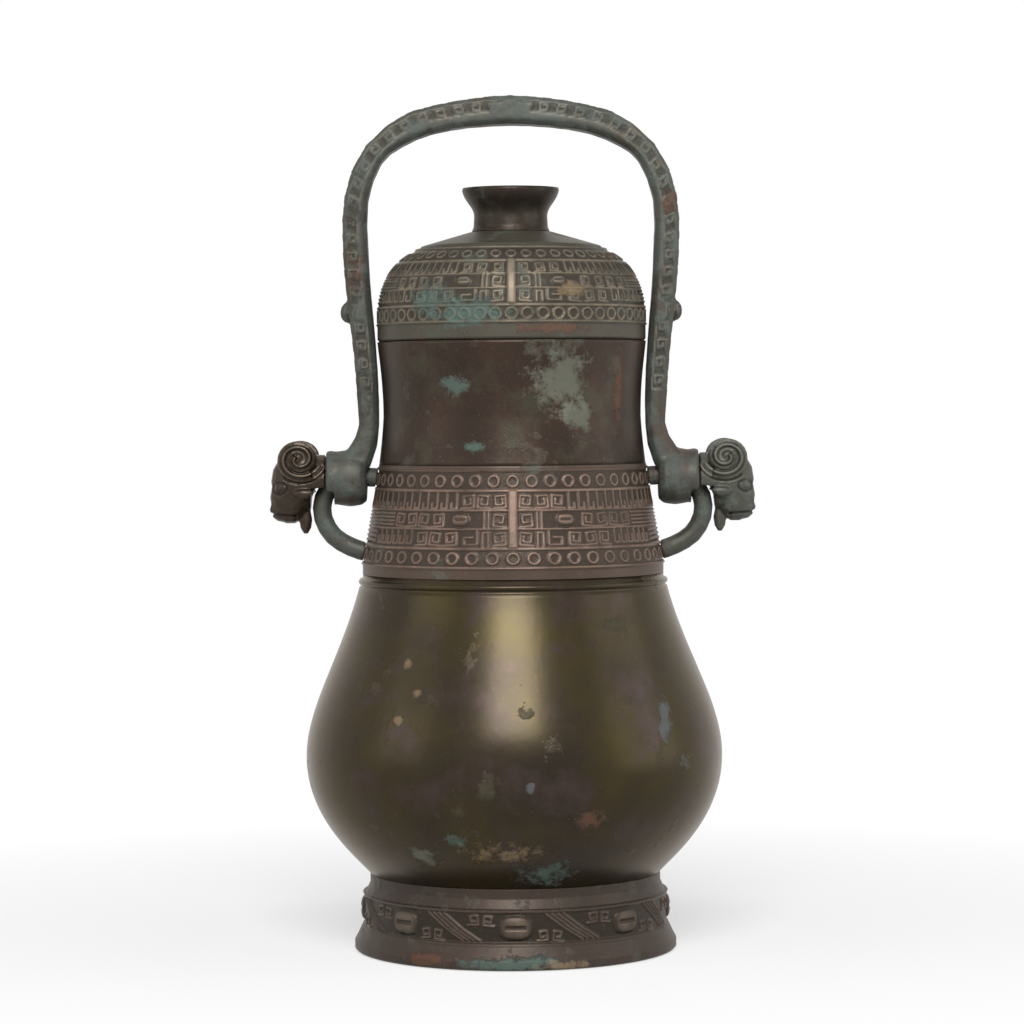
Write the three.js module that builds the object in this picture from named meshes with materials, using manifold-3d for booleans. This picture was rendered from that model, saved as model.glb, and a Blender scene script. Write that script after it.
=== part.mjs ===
// Bronze hu: a round wine vessel with a lift-off cover and a swinging bail.
// Millimetres, +Z up. The standing ring rests on z = 0 and the lugs lie on the X axis.
import * as THREE from "three";
import { mergeVertices } from "three/addons/utils/BufferGeometryUtils.js";
import Module from "manifold-3d";

const wasm = await Module();
wasm.setup();

// Vessel: belly, neck and their walls.
const wall = 3.5;
const baseThickness = 4.5;
const baseDrop = 6;
const bellyRadius = 97.9;
const bellyHeight = 90.5;
const shoulderRadius = 72.4;
const shoulderHeight = 170.2;
const cordRadius = 72.8;
const cordHeight = 3;
const stripRadius = 70.7;
const stripHeight = 7;
const waistRadius = 60.5;
const waistHeight = 250;
const mouthRadius = 63.1;
const mouthHeight = 284.8;

// Standing ring.
const footHeight = 36;
const footTopRadius = 68.3;
const footDrumRadius = 71.2;
const footRimRadius = 75.8;
const footRimHeight = 10.5;
const footWall = 4.2;

// Ornament that stands out as form: centre ribs and the eyes of the masks.
const ribWidth = 4.2;
const ribRise = 1.5;
const neckRibBottom = 191;
const neckRibTop = 216.6;
const footEyeCount = 8;
const footEye = { width: 15, height: 10.5, rise: 1.7 };
const neckEye = { width: 8.4, height: 5.2, rise: 1.3 };
const coverEye = { width: 6.4, height: 4.2, rise: 1.2 };
const neckEyeHeight = 203.4;
const coverEyeHeight = 310;
const maskEyeSpread = 21;

// Cover, its flange and its knob.
const coverWall = 3;
const coverRimRadius = 62.9;
const coverRimHeight = 12.6;
const coverStepRadius = 42;
const coverStepHeight = 44;
const coverCrownHeight = 51;
const seatLip = 9.4;
const flangeDepth = 20;
const flangeWall = 3;
const knobFootRadius = 18.5;
const knobWaistRadius = 17.2;
const knobRimRadius = 22.8;
const knobHeight = 20.6;
const knobWall = 2.3;

// Lugs and bail.
const pivotHeight = 221.3;
const lugTube = 4.5;
const lugReach = 21.3;
const lugDrop = 32.9;
const bailHeight = 400;
const bailThickness = 13.8;
const bailWidth = 18.5;
const bailLegGap = 62.5;
const bailShoulderHalf = 78.9;
const collarInner = 68.4;
const collarOuter = 87.5;
const collarRadius = 13.6;
const swingDegrees = 35;
const headReach = 114.4;
const legMaskRise = 77.7;

// Clearances.
const partingGap = 0.3;
const seatGap = 0.3;
const flangeClearance = 0.7;
const hingeClearance = 0.9;

const turns = 40;
const metals = {
  body: { color: 0x4b4433, roughness: 0.45, metalness: 0.75 },
  foot: { color: 0x4a453a, roughness: 0.55, metalness: 0.7 },
  cover: { color: 0x6b5b44, roughness: 0.55, metalness: 0.65 },
  patina: { color: 0x66705f, roughness: 0.7, metalness: 0.4 },
};

// Helpers: curves, revolved forms and closed solids.

function curve(points, steps) {
  const [a, b, c, d] = points.map(([r, z]) => new THREE.Vector2(r, z));
  return new THREE.CubicBezierCurve(a, b, c, d).getPoints(steps);
}

function line(points) {
  return points.map(([r, z]) => new THREE.Vector2(r, z));
}

// Moves an outline, drawn upwards, towards the axis by the wall's thickness.
function inward(points, distance) {
  return points.map((point, i) => {
    const before = points[Math.max(i - 1, 0)];
    const after = points[Math.min(i + 1, points.length - 1)];
    const along = after.clone().sub(before).normalize();
    return new THREE.Vector2(point.x - along.y * distance, point.y + along.x * distance);
  });
}

function signedVolume(position, triangles) {
  const corner = [new THREE.Vector3(), new THREE.Vector3(), new THREE.Vector3()];
  let volume = 0;
  for (let i = 0; i < triangles.length; i += 3) {
    corner.forEach((v, k) => v.fromBufferAttribute(position, triangles[i + k]));
    volume += corner[0].dot(corner[1].clone().cross(corner[2]));
  }
  return volume;
}

// A closed solid from a three.js geometry, with its faces turned outwards.
function solid(geometry) {
  geometry.deleteAttribute("normal");
  geometry.deleteAttribute("uv");
  const welded = mergeVertices(geometry, 1e-4);
  const position = welded.getAttribute("position");
  const triangles = [];
  for (let i = 0; i < welded.index.count; i += 3) {
    const [a, b, c] = [0, 1, 2].map((k) => welded.index.getX(i + k));
    if (a !== b && b !== c && c !== a) triangles.push(a, b, c);
  }
  if (signedVolume(position, triangles) < 0) triangles.reverse();
  const vertProperties = Float32Array.from(position.array);
  const triVerts = Uint32Array.from(triangles);
  return new wasm.Manifold(new wasm.Mesh({ numProp: 3, vertProperties, triVerts }));
}

function revolved(profile, segments = turns) {
  return solid(new THREE.LatheGeometry(profile, segments).rotateX(Math.PI / 2));
}

function joined(solids) {
  return solids.reduce((whole, piece) => whole.add(piece));
}

function mesh(name, shape, metal) {
  const { vertProperties, triVerts } = shape.getMesh();
  const geometry = new THREE.BufferGeometry();
  geometry.setAttribute("position", new THREE.BufferAttribute(vertProperties, 3));
  geometry.setIndex(new THREE.BufferAttribute(triVerts, 1));
  geometry.computeVertexNormals();
  const made = new THREE.Mesh(geometry, new THREE.MeshStandardMaterial(metals[metal]));
  made.name = name;
  return made;
}

// Outlines of the vessel, as radius and height.

const cordBottom = shoulderHeight + 1;
const stripBottom = cordBottom + cordHeight;
const neckBottom = stripBottom + stripHeight;

function lowerBelly(steps) {
  const bend = [footTopRadius + 8.2, footHeight + 9];
  const belly = [bellyRadius, bellyHeight - 28.5];
  return curve([[footTopRadius, footHeight], bend, belly, [bellyRadius, bellyHeight]], steps);
}

function upperBelly(steps) {
  const belly = [bellyRadius, bellyHeight + 23.7];
  const shoulder = [shoulderRadius + 8.9, shoulderHeight - 33];
  const end = [shoulderRadius, shoulderHeight];
  return curve([[bellyRadius, bellyHeight], belly, shoulder, end], steps);
}

function neckCurve(steps) {
  const start = [stripRadius, neckBottom];
  const low = [stripRadius - 1.6, neckBottom + 11];
  const high = [waistRadius + 1.5, waistHeight - 28];
  return curve([start, low, high, [waistRadius, waistHeight]], steps);
}

function mouthCurve(steps) {
  const low = [waistRadius, waistHeight + 14];
  const high = [mouthRadius - 1.3, mouthHeight - 11];
  return curve([[waistRadius, waistHeight], low, high, [mouthRadius, mouthHeight]], steps);
}

function vesselOutline() {
  const baseHeight = footHeight - baseDrop;
  return [
    ...line([[0, baseHeight], [footTopRadius - 12, baseHeight]]),
    ...line([[footTopRadius - 6.8, footHeight]]),
    ...lowerBelly(6),
    ...upperBelly(8).slice(1),
    ...line([[shoulderRadius - 1.3, cordBottom], [cordRadius, cordBottom + 0.6]]),
    ...line([[cordRadius, stripBottom - 0.6], [stripRadius, stripBottom + 0.4]]),
    ...neckCurve(6),
    ...mouthCurve(3).slice(1),
  ];
}

function cavityOutline() {
  const floor = footHeight - baseDrop + baseThickness;
  const side = [
    ...inward(lowerBelly(4), wall),
    ...inward(upperBelly(5), wall).slice(1),
    ...inward(neckCurve(4), wall),
    ...inward(mouthCurve(2), wall).slice(1),
  ];
  side[side.length - 1].y = mouthHeight;
  return [...line([[0, floor], [footTopRadius - 12, floor]]), ...side];
}

// The radius and slope of an outline at one height.
function surfaceAt(outline, height) {
  const i = outline.findIndex((point) => point.y >= height);
  const [low, high] = [outline[i - 1], outline[i]];
  const share = (height - low.y) / (high.y - low.y);
  const lean = Math.atan2(high.x - low.x, high.y - low.y);
  return { radius: low.x + share * (high.x - low.x), lean };
}

// A rib along the front, whose back follows the wall.
function rib(outline, bottom, top) {
  const steps = 6;
  const sunk = 1;
  const heights = Array.from({ length: steps + 1 }, (_, i) => bottom + ((top - bottom) * i) / steps);
  const face = heights.map((z) => new THREE.Vector2(surfaceAt(outline, z).radius + ribRise, z));
  const back = heights.map((z) => new THREE.Vector2(surfaceAt(outline, z).radius - sunk, z));
  const shape = new THREE.Shape([...face, ...back.reverse()]);
  const plate = new THREE.ExtrudeGeometry(shape, { depth: ribWidth, bevelEnabled: false });
  return solid(plate.translate(0, 0, -ribWidth / 2).rotateX(Math.PI / 2));
}

// A rounded boss with the slit of a pupil, facing +X before it is turned into place.
function eyeBoss({ width, height, rise }, surface, centre, degrees) {
  const sunk = 2;
  const boss = new THREE.SphereGeometry(1, 10, 6);
  boss.scale(rise + sunk, width / 2, height / 2).translate(-sunk, 0, 0);
  const slit = new THREE.BoxGeometry(rise, width * 0.5, height * 0.13).translate(rise, 0, 0);
  const eye = solid(boss).subtract(solid(slit));
  const lean = (-surface.lean * 180) / Math.PI;
  return eye.rotate([0, -lean, 0]).translate([surface.radius, 0, centre]).rotate([0, 0, degrees]);
}

function maskEyes(size, outline, height) {
  const surface = surfaceAt(outline, height);
  const front = [-90 - maskEyeSpread, -90 + maskEyeSpread, 90 - maskEyeSpread, 90 + maskEyeSpread];
  return front.map((degrees) => eyeBoss(size, surface, height, degrees));
}

function ribPair(outline, bottom, top) {
  const made = rib(outline, bottom, top);
  return [made.rotate([0, 0, -90]), made.rotate([0, 0, 90])];
}

function vesselBody() {
  const outline = vesselOutline();
  const cavity = cavityOutline();
  const shell = revolved([...outline, ...cavity.reverse()]);
  const ribs = ribPair(outline, neckRibBottom, neckRibTop);
  return joined([shell, ...ribs, ...maskEyes(neckEye, outline, neckEyeHeight)]);
}

function footRing() {
  const rimStart = footRimHeight + 1;
  const outer = line([
    [footRimRadius - 0.8, 0], [footRimRadius, 0.9], [footRimRadius, 4], [footDrumRadius + 1.4, footRimHeight],
    [footDrumRadius, rimStart], [footDrumRadius + 0.2, 19], [footDrumRadius, 26.4],
    [footDrumRadius - 1, 27.2], [footTopRadius, 31.5], [footTopRadius, footHeight],
  ]);
  const inner = line([
    [footTopRadius - footWall - 1.8, footHeight], [footDrumRadius - footWall - 1.6, rimStart],
    [footRimRadius - footWall, 2], [footRimRadius - footWall + 0.4, 0],
  ]);
  const ring = revolved([...outer, ...inner, outer[0].clone()]);
  const surface = surfaceAt(outer, 18.8);
  const step = 360 / footEyeCount;
  const eyes = Array.from({ length: footEyeCount }, (_, i) => eyeBoss(footEye, surface, 18.8, i * step));
  return joined([ring, ...eyes]);
}

// Lugs: a ring in the plane of the bail, whose top bar is the hinge pin.

function lugCurve() {
  const bar = collarInner + (collarOuter - collarInner) * 0.35;
  const reach = collarInner + lugReach;
  const bottom = pivotHeight - lugDrop;
  const points = [
    [waistRadius - 2, pivotHeight], [bar, pivotHeight], [reach - 3.4, pivotHeight - lugDrop * 0.14],
    [reach, pivotHeight - lugDrop * 0.47], [reach - 4.5, bottom + lugDrop * 0.2],
    [bar, bottom], [waistRadius + 1.5, bottom - 3.4],
  ];
  return new THREE.CatmullRomCurve3(points.map(([x, z]) => new THREE.Vector3(x, 0, z)), false, "centripetal");
}

function lugTubeSolid(radius) {
  const round = new THREE.Shape().absarc(0, 0, radius, 0, Math.PI * 2);
  const options = { steps: 16, curveSegments: 6, bevelEnabled: false, extrudePath: lugCurve() };
  return solid(new THREE.ExtrudeGeometry(round, options));
}

function lug(body) {
  const outside = vesselOutline().map((point) => new THREE.Vector2(Math.max(point.x + partingGap, 0), point.y));
  outside[0].x = 0;
  outside.push(new THREE.Vector2(0, mouthHeight));
  return lugTubeSolid(lugTube).subtract(revolved(outside)).subtract(body);
}

// The room that a lug sweeps through when the bail swings from side to side:
// its outline turned about the hinge line, kept within the swing, with a bore for the bar.
function lugSweep() {
  const room = lugTube + hingeClearance;
  const centre = lugCurve().getPoints(14).map((p) => new THREE.Vector2(pivotHeight - p.z, p.x));
  const outer = inward(centre, room).filter((p) => p.x > 0.2);
  const inner = inward(centre, -room).reverse();
  const start = new THREE.Vector2(0, outer[0].y);
  const end = new THREE.Vector2(0, inner[inner.length - 1].y);
  const turned = revolved([start, ...outer, ...inner, end], 36);

  const swing = THREE.MathUtils.degToRad(swingDegrees);
  const [y, z] = [room * Math.cos(swing), room * Math.sin(swing)];
  const [farY, farZ] = [y + 60 * Math.sin(swing), z - 60 * Math.cos(swing)];
  const fan = new THREE.Shape(line([[y, z], [farY, farZ], [-farY, farZ], [-y, z]]));
  const wedge = new THREE.ExtrudeGeometry(fan, { depth: 120, bevelEnabled: false });
  const bore = new THREE.CylinderGeometry(room, room, start.y - end.y, 18).rotateX(Math.PI / 2);
  bore.translate(0, 0, (start.y + end.y) / 2);
  const swept = turned.intersect(solid(wedge.rotateZ(Math.PI / 2))).add(solid(bore));
  return swept.rotate([0, 90, 0]).translate([0, 0, pivotHeight]);
}

// Bail: an arched strap with chamfered edges and a hinge collar at each end.

function mirrored(half) {
  return [...half, ...half.slice(0, -1).reverse().map((point) => new THREE.Vector2(-point.x, point.y))];
}

function spline(points, steps) {
  return new THREE.SplineCurve(line(points)).getPoints(steps);
}

function bailStrap() {
  const legOuter = bailLegGap + bailThickness - 3.8;
  const shoulderInner = bailShoulderHalf - 12;
  const crown = bailHeight - bailThickness;
  const up = (share) => pivotHeight + (bailHeight - pivotHeight) * share;
  const outer = [
    [collarOuter - 3, up(0.03)], [collarInner + 9, up(0.075)], [legOuter - 0.4, up(0.13)], [legOuter, up(0.2)],
    [legOuter + 2.4, up(0.36)], [bailShoulderHalf - 1.7, up(0.474)], [bailShoulderHalf, up(0.597)],
    [bailShoulderHalf - 0.6, up(0.726)], [bailShoulderHalf * 0.892, up(0.851)],
    [bailShoulderHalf * 0.66, up(0.945)], [bailShoulderHalf * 0.42, up(0.978)],
    [bailShoulderHalf * 0.18, up(0.995)], [0, bailHeight],
  ];
  const inner = [
    [collarInner + 1, pivotHeight], [bailLegGap + 1.1, up(0.084)], [bailLegGap, up(0.2)],
    [bailLegGap + 1.4, up(0.36)], [bailLegGap + 3.2, up(0.474)], [shoulderInner, up(0.597)],
    [shoulderInner, up(0.726)], [shoulderInner * 0.904, up(0.824)], [shoulderInner * 0.765, up(0.867)],
    [shoulderInner * 0.553, crown - 4], [shoulderInner * 0.274, crown - 0.9], [0, crown],
  ];
  const edge = [...mirrored(spline(outer, 22)), ...mirrored(spline(inner, 22)).reverse()];
  const chamfer = 2.6;
  const strap = new THREE.ExtrudeGeometry(new THREE.Shape(edge), {
    depth: bailWidth - 2 * chamfer, bevelThickness: chamfer, bevelSize: chamfer, bevelOffset: -chamfer,
    bevelSegments: 1,
  });
  return solid(strap.translate(0, 0, chamfer - bailWidth / 2).rotateX(Math.PI / 2));
}

function bailCollar() {
  const profile = line([
    [0, collarInner], [collarRadius - 2.8, collarInner], [collarRadius - 0.8, collarInner + 2.5],
    [collarRadius, collarInner + 8], [collarRadius - 1, collarOuter - 5], [collarRadius - 0.5, collarOuter - 1.5],
    [collarRadius - 1.3, collarOuter], [0, collarOuter],
  ]);
  const barrel = revolved(profile, 28);
  return barrel.rotate([0, 90, 0]).translate([0, 0, pivotHeight]);
}

// Small mask bosses on the outer faces of the legs.
function legMask() {
  const mask = new THREE.SphereGeometry(1, 12, 8).scale(3.4, 6.2, 5);
  return solid(mask.translate(bailShoulderHalf - 1.8, 0, pivotHeight + legMaskRise));
}

function crownPanel() {
  const panel = new THREE.CylinderGeometry(1.6, 1.6, 5, 10).rotateZ(Math.PI / 2);
  return solid(panel.scale(1, bailWidth / 4.2, 0.55).translate(0, 0, bailHeight - 0.9));
}

function bail(sweep) {
  const sides = [0, 180];
  const collars = sides.map((degrees) => bailCollar().rotate([0, 0, degrees]));
  const masks = sides.map((degrees) => legMask().rotate([0, 0, degrees]));
  const whole = joined([bailStrap(), ...collars, ...masks]);
  const trimmed = sides.reduce((rest, degrees) => rest.subtract(sweep.rotate([0, 0, degrees])), whole);
  return trimmed.add(crownPanel());
}

// Ram's head on the +X side: skull, muzzle, beard, curled horns, eyes and ears.

function ellipsoid(size, centre, segments = 12) {
  return solid(new THREE.SphereGeometry(1, segments, Math.round(segments * 0.6)).scale(...size).translate(...centre));
}

// A horn coiled in the plane of the bail, its tip at the middle of the coil.
function ramHorn(side, centreX, centreZ) {
  const [tip, mouth, coils] = [1.6, 8.4, 1.45];
  const points = Array.from({ length: 17 }, (_, i) => {
    const share = i / 16;
    const radius = tip + (mouth - tip) * share;
    const angle = Math.PI * (0.2 - 2 * coils * share);
    const out = side * (13.6 - 2.6 * share);
    return new THREE.Vector3(centreX + 1.1 * radius * Math.cos(angle), out, centreZ + radius * Math.sin(angle));
  });
  const round = new THREE.Shape().absarc(0, 0, 2.7, 0, Math.PI * 2);
  const path = new THREE.CatmullRomCurve3(points);
  const options = { steps: 26, curveSegments: 4, bevelEnabled: false, extrudePath: path };
  const disc = ellipsoid([8.8, 3, 8], [centreX, side * 11, centreZ], 14);
  return solid(new THREE.ExtrudeGeometry(round, options)).add(disc);
}

function ramHead(sweep) {
  const start = collarOuter + partingGap;
  const reach = headReach - start;
  const at = (share) => start + reach * share;
  const nape = new THREE.CylinderGeometry(collarRadius - 2.6, collarRadius - 2, reach * 0.45, 20);
  const neck = solid(nape.rotateZ(Math.PI / 2).translate(at(0.22), 0, pivotHeight));
  const skull = ellipsoid([reach * 0.5, 11, 15], [at(0.47), 0, pivotHeight - 1.5], 16);
  const face = ellipsoid([reach * 0.36, 8.6, 12.5], [at(0.63), 0, pivotHeight - 9], 14);
  const muzzle = ellipsoid([reach * 0.27, 7, 6.2], [at(0.73), 0, pivotHeight - 14.6], 12);
  const beard = ellipsoid([reach * 0.12, 3, 7.4], [at(0.36), 0, pivotHeight - 19], 10);
  const paired = [-1, 1].flatMap((side) => [
    ramHorn(side, at(0.44), pivotHeight + 9.2),
    ellipsoid([2.3, 2.3, 1.7], [at(0.8), side * 6.4, pivotHeight - 4.6], 10),
    ellipsoid([reach * 0.2, 2, 2.4], [at(0.36), side * 10.6, pivotHeight - 7], 10),
  ]);
  const behind = new THREE.BoxGeometry(60, 80, 80).translate(start - 30, 0, pivotHeight);
  const head = joined([skull, neck, face, muzzle, beard, ...paired]);
  return head.subtract(solid(behind)).subtract(sweep);
}

// Cover, flange and knob, in heights above the cover's lower face.

const coverBase = mouthHeight + seatGap;

function coverOutline() {
  const lift = (z) => coverBase + z;
  const dome = curve([
    [coverRimRadius, lift(coverRimHeight)], [coverRimRadius, lift(coverRimHeight + 3.4)],
    [coverStepRadius + 20, lift(coverStepHeight - 7.6)], [coverStepRadius + 1.4, lift(coverStepHeight - 1.2)],
  ], 9);
  return [
    ...line([[coverRimRadius - 0.7, coverBase], [coverRimRadius, lift(1)]]),
    ...dome,
    ...line([[coverStepRadius, lift(coverStepHeight + 0.4)], [knobFootRadius + 1, lift(coverCrownHeight)]]),
    ...line([[0, lift(coverCrownHeight)]]),
  ];
}

function coverDome() {
  const outline = coverOutline();
  const crown = outline.length - 1;
  const under = inward(outline.slice(2, crown), coverWall);
  const lip = coverRimRadius - seatLip;
  const inside = [
    ...line([[lip, coverBase], [lip, coverBase + coverWall], [coverRimRadius - coverWall, coverBase + 5]]),
    ...under,
    ...line([[0, coverBase + coverCrownHeight - coverWall]]),
  ];
  const shell = revolved([...outline, ...inside.reverse(), outline[0].clone()]);
  const ribs = ribPair(outline, coverBase + 17, coverBase + 35);
  return joined([shell, ...ribs, ...maskEyes(coverEye, outline, coverEyeHeight)]);
}

function coverFlange() {
  const outer = waistRadius - wall - flangeClearance;
  const bottom = coverBase - flangeDepth;
  const ring = line([
    [outer, coverBase], [outer, bottom + 2], [outer - 0.8, bottom], [outer - flangeWall, bottom],
    [outer - flangeWall, coverBase], [outer, coverBase],
  ]);
  return revolved(ring);
}

function coverKnob() {
  const base = coverBase + coverCrownHeight;
  const top = base + knobHeight;
  const flare = curve([
    [knobWaistRadius, base + 7.2], [knobWaistRadius, base + 12],
    [knobRimRadius - 1.4, base + 13.6], [knobRimRadius, top - 1.2],
  ], 5);
  const cup = inward(flare, knobWall);
  return revolved([
    ...line([[0, base], [knobFootRadius, base], [knobWaistRadius + 0.3, base + 2.4]]),
    ...flare,
    ...line([[knobRimRadius - 0.3, top], [knobRimRadius - knobWall, top]]),
    ...cup.reverse().slice(1),
    ...line([[knobWaistRadius - knobWall - 2, base + 3], [0, base + 3]]),
  ], 40);
}

// Assembly.

const body = vesselBody();
const sweep = lugSweep();
const lugRight = lug(body);
const headRight = ramHead(sweep);

const vessel = new THREE.Group();
vessel.name = "vessel";
vessel.add(mesh("vessel_body", body, "body"), mesh("foot_ring", footRing(), "foot"));
vessel.add(mesh("right_lug", lugRight, "patina"), mesh("left_lug", lugRight, "patina"));
vessel.children[3].rotation.z = Math.PI;

const handle = new THREE.Group();
handle.name = "swinging_bail";
handle.add(mesh("bail", bail(sweep), "patina"));
handle.add(mesh("right_ram_head", headRight, "patina"), mesh("left_ram_head", headRight, "patina"));
handle.children[2].rotation.z = Math.PI;

const cover = new THREE.Group();
cover.name = "cover";
cover.add(mesh("cover_dome", coverDome(), "cover"), mesh("cover_flange", coverFlange(), "cover"));
cover.add(mesh("cover_knob", coverKnob(), "cover"));

const hu = new THREE.Group();
hu.name = "bronze_hu";
hu.add(vessel, handle, cover);

export default hu;
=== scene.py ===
import math

import bpy
import numpy as np
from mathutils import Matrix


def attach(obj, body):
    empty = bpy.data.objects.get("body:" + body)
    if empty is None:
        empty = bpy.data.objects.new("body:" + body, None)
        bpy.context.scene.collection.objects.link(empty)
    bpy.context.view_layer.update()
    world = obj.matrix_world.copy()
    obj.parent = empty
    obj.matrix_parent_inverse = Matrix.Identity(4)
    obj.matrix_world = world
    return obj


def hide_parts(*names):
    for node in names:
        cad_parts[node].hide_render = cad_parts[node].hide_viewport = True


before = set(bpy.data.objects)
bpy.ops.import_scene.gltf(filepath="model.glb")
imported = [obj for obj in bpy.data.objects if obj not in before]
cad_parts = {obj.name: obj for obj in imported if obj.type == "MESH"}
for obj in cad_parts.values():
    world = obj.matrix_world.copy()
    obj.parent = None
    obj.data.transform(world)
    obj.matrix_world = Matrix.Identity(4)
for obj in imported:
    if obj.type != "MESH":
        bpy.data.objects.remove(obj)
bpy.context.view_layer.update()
mm = 0.001
print("stage: frame loaded")


# Camera: nearly level with the neck, far enough away to flatten the vessel.
cameraSet = {"distance": 1645, "eyeHeight": 257, "aimHeight": 204.8, "lens": 123, "roll": 0.4}


def placeCamera(settings):
    camera = bpy.data.objects.new("camera", bpy.data.cameras.new("camera"))
    bpy.context.scene.collection.objects.link(camera)
    camera.location = (0, -settings["distance"] * mm, settings["eyeHeight"] * mm)
    drop = math.atan2(settings["eyeHeight"] - settings["aimHeight"], settings["distance"])
    camera.rotation_euler = (math.pi / 2 - drop, math.radians(settings["roll"]), 0)
    camera.data.lens = settings["lens"]
    camera.data.sensor_width = 36
    bpy.context.scene.camera = camera


placeCamera(cameraSet)


# Small helpers for meshes.

def newObject(name, mesh):
    made = bpy.data.objects.new(name, mesh)
    bpy.context.scene.collection.objects.link(made)
    return made


def smoothNoise(points, scale, seed, waves=7):
    # smooth unevenness from a few turned waves, the same on every run
    random = np.random.default_rng(seed)
    total = np.zeros(len(points))
    for _ in range(waves):
        direction = random.normal(size=3)
        direction *= scale / np.linalg.norm(direction)
        total += np.sin(points @ direction + random.uniform(0, 2 * math.pi))
    return total / waves


def bezier(points, steps):
    t = np.linspace(0, 1, steps + 1)[:, None]
    a, b, c, d = [np.array(point, float) for point in points]
    return (1 - t) ** 3 * a + 3 * (1 - t) ** 2 * t * b + 3 * (1 - t) * t**2 * c + t**3 * d


def resampled(points, pitch):
    # even steps along an outline, with its own corners kept
    points = np.array(points, float)
    made = [points[:1]]
    for start, end in zip(points[:-1], points[1:]):
        count = max(1, int(round(np.linalg.norm(end - start) / pitch)))
        made.append(start + (end - start) * (np.arange(1, count + 1) / count)[:, None])
    return np.vstack(made)


def outwardNormals(outline):
    along = np.gradient(outline, axis=0)
    along /= np.maximum(np.linalg.norm(along, axis=1), 1e-9)[:, None]
    return np.stack([along[:, 1], -along[:, 0]], axis=1)


def turnedPiece(name, columns, outer, inner, reliefAt):
    # a closed ring or cup: a dense outer outline upwards, a plain inner one back down
    outer = np.array(outer, float)
    inner = np.array(inner, float)
    rings = np.vstack([outer, inner])
    normals = np.vstack([outwardNormals(outer), np.zeros_like(inner)])
    angles = np.arange(columns) * 2 * math.pi / columns
    rise = np.zeros((len(rings), columns))
    tone = np.full((len(rings), columns), 0.5)
    rise[: len(outer)], tone[: len(outer)] = reliefAt(angles, outer)
    radius = rings[:, :1] + normals[:, :1] * rise
    height = rings[:, 1:] + normals[:, 1:] * rise
    points = np.stack([radius * np.cos(angles), radius * np.sin(angles), height], axis=2)

    starts, verts, tones = [], [], []
    for i, ring in enumerate(rings):
        starts.append(len(verts))
        pole = ring[0] < 1e-6
        verts.extend(points[i, :1].tolist() if pole else points[i].tolist())
        tones.extend([0.5] if pole else tone[i].tolist())
    faces = []
    for i in range(len(rings)):
        j = (i + 1) % len(rings)
        lowPole, highPole = rings[i][0] < 1e-6, rings[j][0] < 1e-6
        if lowPole and highPole:
            continue
        for k in range(columns):
            n = (k + 1) % columns
            a, b = starts[i] + k, starts[i] + n
            c, d = starts[j] + n, starts[j] + k
            if lowPole:
                faces.append((starts[i], c, d))
            elif highPole:
                faces.append((a, b, starts[j]))
            else:
                faces.append((a, b, c, d))
    mesh = bpy.data.meshes.new(name)
    mesh.from_pydata((np.array(verts) * mm).tolist(), [], faces)
    mesh.attributes.new("relief", "FLOAT", "POINT").data.foreach_set("value", tones)
    mesh.shade_smooth()
    return newObject(name, mesh)


# Drawn relief: strokes on a sheet, read back as height.


def squareSpiral(x, y, size, turns=2.2, flip=1, heart=0.15):
    points, half, corner = [], size / 2, 0
    step = half / (turns * 4)
    while half > heart * size / 2 + step:
        dx, dy = [(-1, -1), (1, -1), (1, 1), (-1, 1)][corner % 4]
        points.append((x + flip * dx * half, y + dy * half))
        half -= step
        corner += 1
    return points


def featherHook(x, y, width, height, across=0.55, up=0.34):
    # a tall stroke that curls over at its foot, as in the plumes of the dragons
    end = x + width * across
    return [(x, y + height), (x, y), (end, y), (end, y + height * up)]


def strokeSheet(width, height, strokes, lineHalf, pitch=0.2, soft=0.22, spare=0.5):
    columns, rows = int(width / pitch) + 2, int(height / pitch) + 2
    sheet = np.zeros((rows, columns))
    for stroke in strokes:
        for (x0, y0), (x1, y1) in zip(stroke[:-1], stroke[1:]):
            reach = lineHalf + spare
            c0, c1 = [int(v / pitch) for v in (min(x0, x1) - reach, max(x0, x1) + reach)]
            r0, r1 = [int(v / pitch) for v in (min(y0, y1) - reach, max(y0, y1) + reach)]
            c0, r0 = max(c0, 0), max(r0, 0)
            c1, r1 = min(c1 + 1, columns - 1), min(r1 + 1, rows - 1)
            if c1 <= c0 or r1 <= r0:
                continue
            gridX, gridY = np.meshgrid(np.arange(c0, c1) * pitch, np.arange(r0, r1) * pitch)
            dx, dy = x1 - x0, y1 - y0
            share = ((gridX - x0) * dx + (gridY - y0) * dy) / max(dx * dx + dy * dy, 1e-9)
            share = np.clip(share, 0, 1)
            away = np.hypot(gridX - x0 - share * dx, gridY - y0 - share * dy)
            line = np.clip((lineHalf + soft - away) / (2 * soft), 0, 1)
            part = sheet[r0:r1, c0:c1]
            np.maximum(part, line, out=part)
    return sheet


def readSheet(sheet, x, y, pitch=0.2):
    column = np.clip(x / pitch, 0, sheet.shape[1] - 2)
    row = np.clip(y / pitch, 0, sheet.shape[0] - 2)
    c, r = column.astype(int), row.astype(int)
    fc, fr = column - c, row - r
    low = sheet[r, c] * (1 - fc) + sheet[r, c + 1] * fc
    high = sheet[r + 1, c] * (1 - fc) + sheet[r + 1, c + 1] * fc
    return low * (1 - fr) + high * fr


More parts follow.
